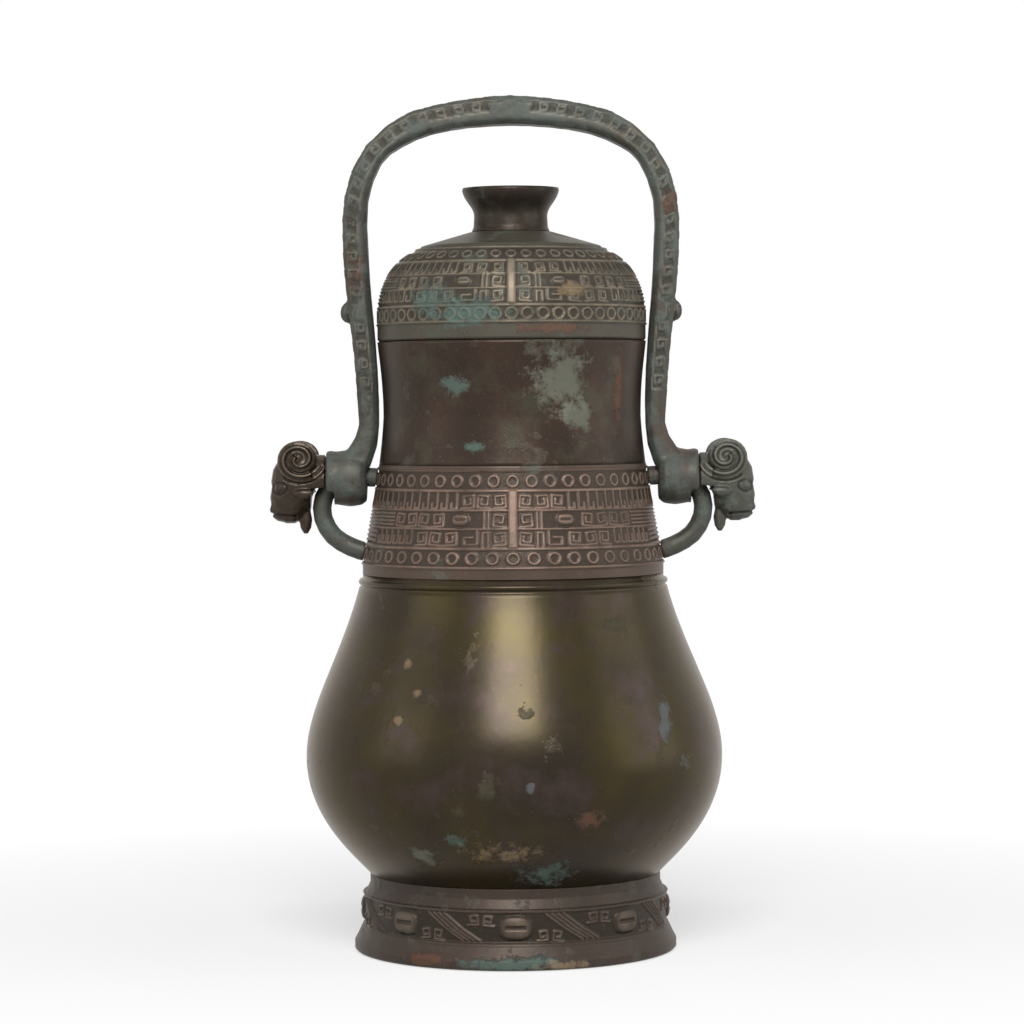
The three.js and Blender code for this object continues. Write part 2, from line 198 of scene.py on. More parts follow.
# Places along a dragon, in millimetres from the centre rib.
dragonSet = {
    "curlShare": 0.78, "rowLinesFrom": 2.4, "jaw": 6, "jawTurns": 1.8, "headCurls": (6, 13.5, 21),
    "plumes": 15, "plumesFrom": 26.5, "plumesShort": 0.5, "plumeGaps": (0.9, 1.6),
    "cheekBars": (11, 13), "barGap": 0.8, "bodyCurls": (35.5, 43, 50.5, 58),
    "bodyLinesFrom": 63, "bodyLines": (0.2, 0.4, 0.6, 0.8), "beard": (11, 13.5), "beardGaps": (0.8, 1.6),
    "claw": (16, 22, 18.6), "clawGaps": (1, 1.4), "clawShare": 0.55, "legCurls": (28.5, 36, 43.5),
    "hooks": 6, "hooksFrom": 49.5, "hookPitch": 4.6, "hookWidth": 2.8, "hookGaps": (0.8, 1.6),
    "hookShare": 0.6, "tailLinesFrom": 78, "tailLines": (0.25, 0.5, 0.75),
}


def dragonStrokes(width, height, at):
    # half of a confronted dragon: three rows of curls beside the centre rib, plumes behind
    row = height / 3
    small = row * at["curlShare"]
    low, middle, high = row * 0.5, row * 1.5, row * 2.5

    def curls(places, level):
        return [squareSpiral(x, level, small, flip=1 if k % 2 else -1) for k, x in enumerate(places)]

    strokes = [[(at["rowLinesFrom"], level), (width, level)] for level in (row, row * 2)]
    strokes += curls(at["headCurls"], high) + curls(at["bodyCurls"], middle) + curls(at["legCurls"], low)
    plume = (width - at["plumesFrom"] - at["plumesShort"]) / at["plumes"]
    under, short = at["plumeGaps"]
    for k in range(at["plumes"]):
        strokes.append(featherHook(at["plumesFrom"] + k * plume, row * 2 + under, plume, row - short))
    strokes.append(squareSpiral(at["jaw"], middle, small, at["jawTurns"]))
    strokes.append(squareSpiral(at["jaw"], low, small, flip=-1))
    for x in at["cheekBars"]:
        strokes.append([(x, row + at["barGap"]), (x, row * 2 - at["barGap"])])
    for share in at["bodyLines"]:
        strokes.append([(at["bodyLinesFrom"], row * (1 + share)), (width, row * (1 + share))])
    for share in at["tailLines"]:
        strokes.append([(at["tailLinesFrom"], row * share), (width, row * share)])
    (left, right), (foot, top) = at["beard"], at["beardGaps"]
    strokes.append([(left, foot), (left, row - top), (right, row - top), (right, foot)])
    (left, right, end), (top, foot), level = at["claw"], at["clawGaps"], row * at["clawShare"]
    strokes.append([(left, row - top), (left, foot), (right, foot), (right, level), (end, level)])
    top, foot = at["hookGaps"]
    for k in range(at["hooks"]):
        x = at["hooksFrom"] + k * at["hookPitch"]
        end = x + at["hookWidth"]
        strokes.append([(x, row - top), (x, foot), (end, foot), (end, row * at["hookShare"])])
    return strokes


def footStrokes(width, height, at):
    # one eighth of the ring, its boss at the left: slanting bands with curls above and below
    strokes = []
    for k in range(at["slants"]):
        x = at["slantsFrom"] + k * at["slantPitch"]
        bend, end = at["slantBend"], at["slantEnd"]
        gap = at["slantGap"]
        strokes.append([(x, height - gap), (x + bend[0], height * bend[1]), (x + end, gap)])
    curl = height * at["curlShare"]
    for (x, share), flip in zip(at["curls"], (1, -1)):
        strokes.append(squareSpiral(x, height * share, curl, at["curlTurns"], flip))
        strokes.append(squareSpiral(width - x, height * (1 - share), curl, at["curlTurns"], -flip))
    return strokes


def circleRow(around, up, count, radius, centre, half=0.55, share=0.44, largest=3.0, soft=0.25):
    # a row of little rings; around is in turns, up in millimetres
    cell = 2 * math.pi * radius / count
    x = (np.mod(around * count, 1) - 0.5) * cell
    away = np.hypot(x, up - centre)
    ring = min(cell * share, largest)
    return np.clip((half + soft - np.abs(away - ring + half)) / (2 * soft), 0, 1)


def ridge(distance, half, soft=0.4):
    return np.clip((half + soft - np.abs(distance)) / soft, 0, 1)


def eyeRise(x, y, width, height, slitShare=0.07, slitLength=0.3, slitDepth=0.55):
    # a rounded oblong boss with the slit of a pupil
    shape = (np.abs(x) / (width / 2)) ** 3 + (np.abs(y) / (height / 2)) ** 3
    dome = np.sqrt(np.clip(1 - shape, 0, 1))
    slit = ridge(y, height * slitShare, 0.35) * (np.abs(x) < width * slitLength)
    return dome * (1 - slitDepth * slit)


# Vessel: the same driving sizes as the solid, in millimetres, with the pulls of its curves.
vesselSet = {
    "wall": 3.5, "base": 30, "baseInset": 12, "floor": 34.5, "foot": (68.3, 36), "footInset": 6.8,
    "footPull": (8.2, 9), "belly": (97.9, 90.5), "bellyPulls": (28.5, 23.7),
    "shoulder": (72.4, 170.2), "shoulderPull": (8.9, 33),
    "cord": 72.8, "cordGap": 1, "cordProfile": [(-1.7, 0), (-0.6, 0.3), (0, 1.5), (-0.6, 2.7)],
    "cordTop": 3.4, "strip": 70.7, "stripStart": 5, "neck": (70.7, 181.2), "neckPull": (1.6, 11),
    "waist": (60.5, 250), "waistPulls": ((1.5, 28), (0, 14)),
    "mouth": (63.1, 284.8), "mouthPull": (1.3, 11),
    "bandRadius": 66, "bandLow": 190.9, "bandHigh": 216.6, "bandTop": 227.6,
    "circles": 46, "circleHeights": (186, 221.4), "borderHeights": (181.6, 190.4, 217, 226.3),
    "eyeTurn": 21, "eye": (8.4, 5.6),
    "bellyMesh": (320, 1.5), "bandMesh": (720, 0.4), "plainMesh": (300, 1.2),  # columns, pitch
    "bellyDents": (3, 0.14), "plainDents": (7, 0.12),  # seed, depth
}

# Relief of the bands: half widths and rises in millimetres.
reliefSet = {
    "lineHalf": 0.5, "borderHalf": 0.45, "ribHalf": 1.7, "ribSoft": 0.5, "eyeClear": 0.72,
    "ground": 0.45, "line": 0.75, "eye": 1.5, "rib": 1.7, "ribBase": 0.3, "dents": (5, 0.08),
}


def vesselOutlines(size):
    foot, belly, shoulder = size["foot"], size["belly"], size["shoulder"]
    neck, waist, mouth = size["neck"], size["waist"], size["mouth"]
    footPull, shoulderPull, (down, up) = size["footPull"], size["shoulderPull"], size["bellyPulls"]
    neckPull, mouthPull, (waistDown, waistUp) = size["neckPull"], size["mouthPull"], size["waistPulls"]
    lower = bezier([
        foot, (foot[0] + footPull[0], foot[1] + footPull[1]), (belly[0], belly[1] - down), belly], 40)
    upper = bezier([
        belly, (belly[0], belly[1] + up),
        (shoulder[0] + shoulderPull[0], shoulder[1] - shoulderPull[1]), shoulder], 50)
    neckLine = bezier([
        neck, (neck[0] - neckPull[0], neck[1] + neckPull[1]),
        (waist[0] + waistDown[0], waist[1] - waistDown[1]), waist], 60)
    lip = bezier([
        waist, (waist[0] + waistUp[0], waist[1] + waistUp[1]),
        (mouth[0] - mouthPull[0], mouth[1] - mouthPull[1]), mouth], 24)
    return lower, upper, neckLine, lip


def inside(outline, wall):
    return outline - outwardNormals(outline) * wall


def cut(outline, low, high, margin=0.05):
    # the stretch of an outline between two heights, with exact ends
    inner = outline[(outline[:, 1] > low + margin) & (outline[:, 1] < high - margin)]
    ends = [(np.interp(z, outline[:, 1], outline[:, 0]), z) for z in (low, high)]
    return np.vstack([ends[:1], inner, ends[1:]])


def lengthsAlong(outline):
    return np.concatenate([[0], np.cumsum(np.linalg.norm(np.diff(outline, axis=0), axis=1))])


def dents(angles, outline, seed, amount, scales=(0.09, 0.35), secondShare=0.35):
    # slow unevenness of cast and buried metal
    x, y = np.cos(angles), np.sin(angles)
    points = np.stack(np.broadcast_arrays(
        outline[:, :1] * x, outline[:, :1] * y, outline[:, 1:]), axis=2).reshape(-1, 3)
    slow = smoothNoise(points, scales[0], seed) * amount
    slow = slow + smoothNoise(points, scales[1], seed + 1) * amount * secondShare
    return slow.reshape(len(outline), len(angles))


def plainRelief(seed, amount):
    return lambda angles, outline: (dents(angles, outline, seed, amount) - amount / 2, 0.5)


def fromFront(angles):
    # angle from the nearest centre rib, front or back: 0 at the rib, 90 degrees at a lug
    return np.abs(np.mod(np.degrees(angles) + 180, 180) - 90)


def bandSpec(size, up, circleRows):
    # one ornament band, its heights turned into lengths along the outline
    radius = size["bandRadius"]
    return {
        "radius": radius, "low": up(size["bandLow"]), "high": up(size["bandHigh"]),
        "eyeX": math.radians(size["eyeTurn"]) * radius, "eye": size["eye"],
        "circleRows": circleRows, "borders": [up(z) for z in size["borderHeights"]],
    }


def bandRelief(spec, cast):
    width = math.pi / 2 * spec["radius"]
    tall = spec["high"] - spec["low"]
    sheet = strokeSheet(width, tall, dragonStrokes(width, tall, dragonSet), cast["lineHalf"])

    def relief(angles, outline):
        along = lengthsAlong(outline)[:, None]
        around = np.radians(fromFront(angles))[None, :] * spec["radius"]
        x, y = np.broadcast_arrays(around, along - spec["low"])
        inBand = (y > 0) & (y < tall)
        lines = np.where(inBand, readSheet(sheet, x, y), 0)
        eyeX, eyeY = x - spec["eyeX"], y - tall / 2
        eye = eyeRise(eyeX, eyeY, *spec["eye"])
        clear = np.hypot(eyeX / spec["eye"][0], eyeY / spec["eye"][1]) < cast["eyeClear"]
        lines = np.where(clear & inBand, 0, lines)
        turn = (angles / (2 * math.pi))[None, :]
        rows = [circleRow(turn, along, count, spec["radius"], centre)
                for count, centre in spec["circleRows"]]
        borders = [ridge(along - at, cast["borderHalf"]) for at in spec["borders"]]
        rib = ridge(x, cast["ribHalf"], cast["ribSoft"]) * inBand
        marks = [np.broadcast_to(mark, lines.shape) for mark in rows + borders]
        raised = np.maximum.reduce([lines, *marks])
        sunk = (along > spec["borders"][0]) & (along < spec["borders"][-1])
        rise = raised * cast["line"] - sunk * cast["ground"]
        rise = np.maximum(rise, eye * cast["eye"] - cast["ground"])
        rise = np.maximum(rise, rib * cast["rib"] - cast["ribBase"])
        tone = np.clip(np.maximum.reduce([raised, eye, rib]), 0, 1)
        tone = np.where(np.broadcast_to(sunk, tone.shape), tone, 0.5)
        return rise + dents(angles, outline, *cast["dents"]), tone

    return relief


def buildBelly(size, lower, upper, split):
    foot, wall, cordLow = size["foot"], size["wall"], size["shoulder"][1] + size["cordGap"]
    baseEdge = foot[0] - size["baseInset"]
    cord = [(size["cord"] + out, cordLow + up) for out, up in size["cordProfile"]]
    cord.append((size["strip"], cordLow + size["cordTop"]))
    outer = np.vstack([
        [(baseEdge, size["base"])], [(foot[0] - size["footInset"], foot[1])],
        lower, upper[1:], cord, [(size["strip"], split)]])
    inner = np.vstack([
        [(size["strip"] - wall, split)], inside(upper, wall)[::-1][::4], inside(lower, wall)[::-1][::4],
        [(baseEdge, size["floor"]), (0, size["floor"])]])
    # the axis point stays apart, so that the base is closed by one flat disc
    columns, pitch = size["bellyMesh"]
    dense = np.vstack([[(0, size["base"])], resampled(outer, pitch)])
    return turnedPiece("belly", columns, dense, inner, plainRelief(*size["bellyDents"]))


def buildVessel(size):
    lower, upper, neckLine, lip = vesselOutlines(size)
    wall, bandTop, top = size["wall"], size["bandTop"], size["mouth"][1]
    split = size["shoulder"][1] + size["cordGap"] + size["stripStart"]
    belly = buildBelly(size, lower, upper, split)
    neckAll = np.vstack([[(size["strip"], split)], neckLine])
    columns, pitch = size["bandMesh"]
    bandOuter = resampled(cut(neckAll, split, bandTop), pitch)
    bandInner = cut(inside(neckAll, wall), split, bandTop)[::-1][::6]
    circleRows = [(size["circles"], z - split) for z in size["circleHeights"]]
    spec = bandSpec(size, lambda z: z - split, circleRows)
    band = turnedPiece("neck_band", columns, bandOuter, bandInner, bandRelief(spec, reliefSet))
    upperAll = np.vstack([neckLine, lip[1:]])
    columns, pitch = size["plainMesh"]
    plainOuter = resampled(cut(upperAll, bandTop, top), pitch)
    plainInner = cut(inside(upperAll, wall), bandTop, top)[::-1][::4]
    plain = turnedPiece("neck_plain", columns, plainOuter, plainInner, plainRelief(*size["plainDents"]))
    print("stage: vessel")
    return belly, band, plain


# Foot: drum with eight eyes between slanting bands, then a plain flaring rim.
# The two profiles hold what stands out from the rim's and the drum's radius, and the height.
footSet = {
    "top": (68.3, 36), "topStart": 31.5, "drum": 71.2, "rim": 75.8, "rimTop": 11.5, "wall": 4.2,
    "rimProfile": [(-0.8, 0.03), (0, 0.9), (0, 4), (-1.6, 7)],
    "drumProfile": [(1.4, 10.5), (0, 11.5), (0.2, 19), (0, 26.4), (-1, 27.2)],
    "eyes": 8, "eye": (15, 11), "bandLow": 11.6, "bandHigh": 26.2,
    "slants": 4, "slantsFrom": 14, "slantPitch": 2.7, "slantBend": (9, 0.45), "slantEnd": 17.5,
    "slantGap": 1.2, "curls": [(12.4, 0.27), (19.4, 0.25)], "curlShare": 0.36, "curlTurns": 1.8,
    "lineHalf": 0.5, "borderHalf": 0.4, "ground": 0.4, "line": 0.7, "eyeRise": 1.9,
    "dents": (11, 0.1), "inset": 0.02, "plainBelow": 1, "mesh": (720, 0.42),
    "innerTop": 1.8, "innerDrum": 1.6, "innerRim": 0.4, "innerRimTop": 2,
}


def footRelief(size, width, tall):
    sheet = strokeSheet(width, tall, footStrokes(width, tall, size), size["lineHalf"])

    def relief(angles, outline):
        cell = np.mod(angles * size["eyes"] / (2 * math.pi), 1) * width
        x, z = np.broadcast_arrays(cell[None, :], outline[:, 1:])
        y = z - size["bandLow"]
        inBand = (y > 0) & (y < tall)
        lines = np.where(inBand, readSheet(sheet, x, y), 0)
        fromEye = np.minimum(x, width - x)
        eye = eyeRise(fromEye, y - tall / 2, *size["eye"]) * inBand
        borders = [ridge(z - size[edge], size["borderHalf"]) for edge in ("bandLow", "bandHigh")]
        raised = np.maximum.reduce([lines, *borders])
        rise = raised * size["line"] - inBand * size["ground"]
        rise = np.maximum(rise, eye * size["eyeRise"] - size["ground"])
        tone = np.where(inBand, np.maximum(raised, eye), 0.5)
        rise = (rise + dents(angles, outline, *size["dents"])) * (z > size["plainBelow"])
        return rise - size["inset"], tone

    return relief


def buildFoot(size):
    drum, rim, wall, top = size["drum"], size["rim"], size["wall"], size["top"]
    outline = [(rim + out, z) for out, z in size["rimProfile"]]
    outline += [(drum + out, z) for out, z in size["drumProfile"]]
    columns, pitch = size["mesh"]
    outer = resampled([*outline, (top[0], size["topStart"]), top], pitch)
    inner = np.array([
        (top[0] - wall - size["innerTop"], top[1]), (drum - wall - size["innerDrum"], size["rimTop"]),
        (rim - wall, size["innerRimTop"]), (rim - wall + size["innerRim"], size["rimProfile"][0][1])])
    tall = size["bandHigh"] - size["bandLow"]
    width = 2 * math.pi * drum / size["eyes"]
    return turnedPiece("foot", columns, outer, inner, footRelief(size, width, tall))


# Cover: dome with the same dragons, a stepped crown, the flange below and a cup on top.
coverSet = {
    "base": 285.1, "rim": 62.9, "rimHeight": 12.6, "rimPull": 3.4, "rimEdge": (0.7, 1),
    "step": (42, 44), "stepPull": (20, 7.6), "stepEdge": (1.4, 1.2), "stepRise": 0.4, "crown": 51,
    "wall": 3, "lip": 9.4, "lipRise": 3, "shoulderInside": 5, "crownInside": 47.2,
    "mesh": (620, 0.45), "slopePitch": 1.2, "slopeClear": 1,
    "bandRadius": 59, "bandLow": 301.4, "bandHigh": 320.8, "borderHeights": (293.1, 300.6, 321.1, 327.4),
    "circleRows": [(54, 294.1, 299.4), (46, 321.7, 326.6)], "eyeTurn": 21, "eye": (6.4, 4.4),
}
flangeSet = {
    "radius": 56.3, "depth": 20, "wall": 3, "edge": (0.8, 2), "mesh": (200, 1.2), "dents": (21, 0.05),
}
knobSet = {
    "foot": 18.5, "footEdge": (0.3, 2.4), "waist": 17.2, "waistFrom": 7.2, "waistPull": 12,
    "rim": 22.8, "rimPull": (1.4, 13.6), "rimEdge": (0.3, 1.2), "height": 20.6, "wall": 2.3,
    "floor": 3, "floorInset": 2, "mesh": (160, 0.9), "dents": (23, 0.1),
}


def buildDome(size, knobFoot):
    base, rim, step = size["base"], size["rim"], size["step"]
    top, crown = base + step[1], base + size["crown"]
    dome = bezier([
        (rim, base + size["rimHeight"]), (rim, base + size["rimHeight"] + size["rimPull"]),
        (step[0] + size["stepPull"][0], top - size["stepPull"][1]),
        (step[0] + size["stepEdge"][0], top - size["stepEdge"][1])], 70)
    side = np.vstack([[(rim - size["rimEdge"][0], base), (rim, base + size["rimEdge"][1])], dome])
    columns, pitch = size["mesh"]
    dense = resampled(side, pitch)
    slope = [side[-1], (step[0], top + size["stepRise"]), (knobFoot + size["slopeClear"], crown)]
    slope = resampled(slope, size["slopePitch"])
    outer = np.vstack([dense, slope[1:], [(0, crown)]])
    lip = rim - size["lip"]
    inner = np.vstack([
        [(0, crown - size["wall"]), (knobFoot, base + size["crownInside"])],
        inside(dome, size["wall"])[::-1][::7],
        [(rim - size["wall"], base + size["shoulderInside"]), (lip, base + size["lipRise"]), (lip, base)]])
    along = lengthsAlong(dense)

    def upTo(z):
        return float(np.interp(z, dense[:, 1], along))

    circleRows = [(count, (upTo(low) + upTo(high)) / 2) for count, low, high in size["circleRows"]]
    spec = bandSpec(size, upTo, circleRows)
    return turnedPiece("cover_dome_cast", columns, outer, inner, bandRelief(spec, reliefSet))


def buildFlange(size, base):
    radius, bottom = size["radius"], base - size["depth"]
    edge = [(radius - size["edge"][0], bottom), (radius, bottom + size["edge"][1]), (radius, base)]
    inner = [(radius - size["wall"], base), (radius - size["wall"], bottom)]
    columns, pitch = size["mesh"]
    outer = resampled(edge, pitch)
    return turnedPiece("cover_flange_cast", columns, outer, inner, plainRelief(*size["dents"]))


def buildKnob(size, base):
    waist, rim, wall, top = size["waist"], size["rim"], size["wall"], base + size["height"]
    flare = bezier([
        (waist, base + size["waistFrom"]), (waist, base + size["waistPull"]),
        (rim - size["rimPull"][0], base + size["rimPull"][1]), (rim, top - size["rimEdge"][1])], 16)
    outer = np.vstack([
        [(size["foot"], base), (waist + size["footEdge"][0], base + size["footEdge"][1])], flare])
    inner = np.vstack([
        [(rim - size["rimEdge"][0], top), (rim - wall, top)], inside(flare, wall)[::-1][1::3],
        [(waist - wall - size["floorInset"], base + size["floor"]), (0, base + size["floor"])]])
    columns, pitch = size["mesh"]
    dense = np.vstack([[(0, base)], resampled(outer, pitch)])
    return turnedPiece("cover_knob_cast", columns, dense, inner, plainRelief(*size["dents"]))


def buildCover():
    base = coverSet["base"]
    dome = buildDome(coverSet, knobSet["foot"])
    flange = buildFlange(flangeSet, base)
    knob = buildKnob(knobSet, base + coverSet["crown"])
    print("stage: cover")
    return dome, flange, knob


# Bail, lugs and heads: the cast forms, rounded and then chased.


def castCopy(node, size):
    made = newObject(node + "_cast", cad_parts[node].data.copy())
    made.data.materials.clear()
    remesh = made.modifiers.new("remesh", "REMESH")
    remesh.mode = "VOXEL"
    remesh.voxel_size = size["voxel"] * mm
    smooth = made.modifiers.new("smooth", "SMOOTH")
    smooth.factor = 0.6
    smooth.iterations = size["rounds"]
    graph = bpy.context.evaluated_depsgraph_get()
    mesh = bpy.data.meshes.new_from_object(made.evaluated_get(graph))
    made.modifiers.clear()
    made.data = mesh
    mesh.shade_smooth()
    return made


def chase(piece, riseAt, limit=1.2):
    mesh = piece.data
    count = len(mesh.vertices)
    points = np.empty(count * 3)
    mesh.vertices.foreach_get("co", points)
    normals = np.empty(count * 3)
    mesh.vertex_normals.foreach_get("vector", normals)
    points, normals = points.reshape(-1, 3), normals.reshape(-1, 3)
    rise, tone = riseAt(points / mm, normals)
    points = points + normals * np.clip(rise, -limit, limit)[:, None] * mm
    mesh.vertices.foreach_set("co", points.ravel())
    mesh.attributes.new("relief", "FLOAT", "POINT").data.foreach_set("value", np.asarray(tone, float))
    mesh.update()


bailSet = {
    "voxel": 0.8, "rounds": 3, "archCentre": 320, "archRadius": 78, "chasedFrom": 262, "below": 100,
    "cell": 8.4, "row": 6.6, "curlShare": 0.8, "curlTurns": 1.8, "border": 0.2, "lineHalf": 0.42,
    "facing": 0.6, "ribHalf": 0.2, "flankEdge": 1.4,
    "line": 0.55, "ground": 0.65, "inset": 0.1,
    "wear": [(0.25, 31, 0.14), (1.1, 32, 0.07)],  # scale, seed, depth
}


def bailRelief(points, normals):
    # square curls in rows on the outer face and on both flanks, borders beside them
    x, y, z = points.T
    centre, facing = bailSet["archCentre"], bailSet["facing"]
    overArch = z > centre
    reach = np.where(overArch, np.hypot(x, z - centre), np.abs(x))
    angle = np.arctan2(z - centre, np.abs(x))
    along = np.where(overArch, angle * bailSet["archRadius"], z - centre) + bailSet["below"]
    step = along.astype(int)
    edge = np.zeros(step.max() + 1)
    np.maximum.at(edge, step, reach)
    row, cell, border = bailSet["row"], bailSet["cell"], bailSet["border"]
    curl = squareSpiral(cell / 2, row / 2, row * bailSet["curlShare"], bailSet["curlTurns"])
    borders = [[(0, border), (cell, border)], [(0, row - border), (cell, row - border)]]
    sheet = strokeSheet(cell, row, [curl, *borders], bailSet["lineHalf"])
    outerSide = (normals[:, 0] * np.sign(x) > facing) | (normals[:, 2] > facing)
    up = np.where(outerSide, np.abs(y) - bailSet["ribHalf"], edge[step] - reach - bailSet["flankEdge"])
    chased = (z > bailSet["chasedFrom"]) & (up > 0) & (up < row)
    chased = chased & (outerSide | (np.abs(normals[:, 1]) > facing))
    lines = np.where(chased, readSheet(sheet, np.mod(along, cell), np.clip(up, 0, row)), 0)
    wear = sum(smoothNoise(points, scale, seed) * amount for scale, seed, amount in bailSet["wear"])
    rise = lines * bailSet["line"] - bailSet["ground"] * chased - bailSet["inset"] + wear
    return rise, np.where(chased, lines, 0.5)


# Heads, in millimetres. The third number is a squeeze for horn and eye, and a slant for the mouth.
headSet = {
    "voxel": 0.42, "rounds": 4, "horn": (99.5, 230.5, 1.1), "hornFrom": 9, "hornRadius": 12.5,
    "coilPitch": 4.69, "coilStart": 0.44, "coilRise": 0.32,
    "mouth": (104, 203.6, 0.08), "mouthFrom": 101, "mouthLine": (0.35, 0.7), "mouthDepth": 0.9,
    "eye": (109.1, 216.7, 1.3), "eyeFrom": 3, "eyeRadius": 3.4, "eyeLine": (0.4, 0.5), "eyeDepth": 0.5,
    "nostril": (113, 3, 208), "nostrilRadius": 0.4, "nostrilLine": (0.6, 0.6), "nostrilTall": 2.2,
    "nostrilDepth": 0.7, "dents": (0.5, 41, 0.1),
}


def headRelief(points, normals):
    # lines that follow the coil of each horn, eye rims, a mouth and nostrils
    x, y, z = np.abs(points[:, 0]), np.abs(points[:, 1]), points[:, 2]
    hornX, hornZ, squeeze = headSet["horn"]
    angle = np.arctan2(z - hornZ, (x - hornX) / squeeze)
    away = np.hypot(z - hornZ, (x - hornX) / squeeze)
    onHorn = (y > headSet["hornFrom"]) & (away < headSet["hornRadius"])
    phase = away / headSet["coilPitch"] + angle / (2 * math.pi) - headSet["coilStart"]
    coil = np.cos(4 * math.pi * phase)
    mouthX, mouthZ, slant = headSet["mouth"]
    mouth = ridge(z - mouthZ - (x - mouthX) * slant, *headSet["mouthLine"])
    mouth = mouth * (x > headSet["mouthFrom"]) * ~onHorn
    eyeX, eyeZ, squeeze = headSet["eye"]
    rim = ridge(np.hypot(x - eyeX, (z - eyeZ) * squeeze) - headSet["eyeRadius"], *headSet["eyeLine"])
    rim = rim * (y > headSet["eyeFrom"]) * ~onHorn
    noseX, noseY, noseZ = headSet["nostril"]
    nostril = ridge(np.hypot(x - noseX, y - noseY) - headSet["nostrilRadius"], *headSet["nostrilLine"])
    nostril = nostril * (np.abs(z - noseZ) < headSet["nostrilTall"])
    rise = np.where(onHorn, coil * headSet["coilRise"], 0) - mouth * headSet["mouthDepth"]
    rise = rise - rim * headSet["eyeDepth"] - nostril * headSet["nostrilDepth"]
    scale, seed, amount = headSet["dents"]
    rise = rise + smoothNoise(points, scale, seed) * amount
    tone = np.where(onHorn, 0.5 + 0.5 * coil, 0.5 - 0.5 * np.maximum(mouth, rim))
    return rise, tone


lugSet = {"voxel": 0.6, "rounds": 3, "dents": (0.4, 51, 0.15)}


def lugRelief(points, normals):
    scale, seed, amount = lugSet["dents"]
    return smoothNoise(points, scale, seed) * amount, np.full(len(points), 0.5)


def buildHandle():
    made = {"bail": castCopy("bail", bailSet)}
    chase(made["bail"], bailRelief)
    for side in ("left", "right"):
        head, lug = side + "_ram_head", side + "_lug"
        made[head] = castCopy(head, headSet)
        chase(made[head], headRelief)
        made[lug] = castCopy(lug, lugSet)
        chase(made[lug], lugRelief)
    print("stage: handle")
    return made


# Materials: old bronze from one recipe, with its own colours on each piece.


def addNode(tree, kind, **values):
    made = tree.nodes.new(kind)
    for key, value in values.items():
        if key in made.inputs:
            made.inputs[key].default_value = value
        else:
            setattr(made, key, value)
    return made


def spread(tree, value, fromRange=(0, 1), toRange=(0, 1)):
    # one range of a value stretched over another
    made = addNode(tree, "ShaderNodeMapRange")
    for name, number in zip(("From Min", "From Max", "To Min", "To Max"), (*fromRange, *toRange)):
        made.inputs[name].default_value = number
    tree.links.new(value, made.inputs[0])
    return made.outputs[0]


def noise(tree, coords, scale, detail, roughness):
    made = addNode(tree, "ShaderNodeTexNoise", Scale=scale, Detail=detail, Roughness=roughness)
    tree.links.new(coords, made.inputs["Vector"])
    return made.outputs[0]


def noiseMask(tree, coords, scale, low, high, detail=6, roughness=0.62):
    return spread(tree, noise(tree, coords, scale, detail, roughness), (low, high))


def maths(tree, operation, first, second):
    made = addNode(tree, "ShaderNodeMath", operation=operation, use_clamp=True)
    for socket, value in zip(made.inputs, (first, second)):
        if isinstance(value, (int, float)):
            socket.default_value = value
        else:
            tree.links.new(value, socket)
    return made.outputs[0]


def mixColour(tree, factor, first, second):
    made = addNode(tree, "ShaderNodeMix", data_type="RGBA")
    tree.links.new(factor, made.inputs[0])
    for socket, value in ((made.inputs[6], first), (made.inputs[7], second)):
        if isinstance(value, tuple):
            socket.default_value = (*value, 1)
        else:
            tree.links.new(value, socket)
    return made.outputs[2]


def vectorMaths(tree, operation, first, second=None):
    made = addNode(tree, "ShaderNodeVectorMath", operation=operation)
    tree.links.new(first, made.inputs[0])
    if second:
        made.inputs[1].default_value = second
    return made


patchSet = {"noise": (170, 10, 0.75), "ragged": 3.2, "edge": (2.5, 2.05), "cover": 0.62, "crust": 0.8}


def patchMask(tree, coords, centre, size):
    # a ragged patch round one point, in millimetres
    offset = vectorMaths(tree, "SUBTRACT", coords, [value * mm for value in centre])
    scaled = vectorMaths(tree, "DIVIDE", offset.outputs[0], [value * mm for value in size])
    length = vectorMaths(tree, "LENGTH", scaled.outputs[0])
    ragged = addNode(tree, "ShaderNodeMath", operation="MULTIPLY_ADD")
    tree.links.new(noise(tree, coords, *patchSet["noise"]), ragged.inputs[0])
    ragged.inputs[1].default_value = patchSet["ragged"]
    tree.links.new(length.outputs["Value"], ragged.inputs[2])
    return spread(tree, ragged.outputs[0], patchSet["edge"])


# What all the bronzes share; noise is given as scale, detail, roughness, and wear as scale and range.
bronzeSet = {
    "specular": 0.3, "specularTint": (1, 0.9, 0.8, 1), "cloudRange": (0.38, 0.62),
    "blotchScale": 2.3, "blotchRange": (0.52, 0.66), "crustDetail": 9,
    "raised": (0.6, 0.95), "sunk": (0.4, 0.05), "wear": (55, 0.3, 0.55),
    "speck": (900, 0.62, 0.74, 3), "speckShare": 0.5, "crustRoughness": 0.85, "crustMetal": 0.05,
    "grain": (300, 4, 0.55), "grainShare": 0.16, "bump": 0.7, "bumpDistance": 0.0012,
}


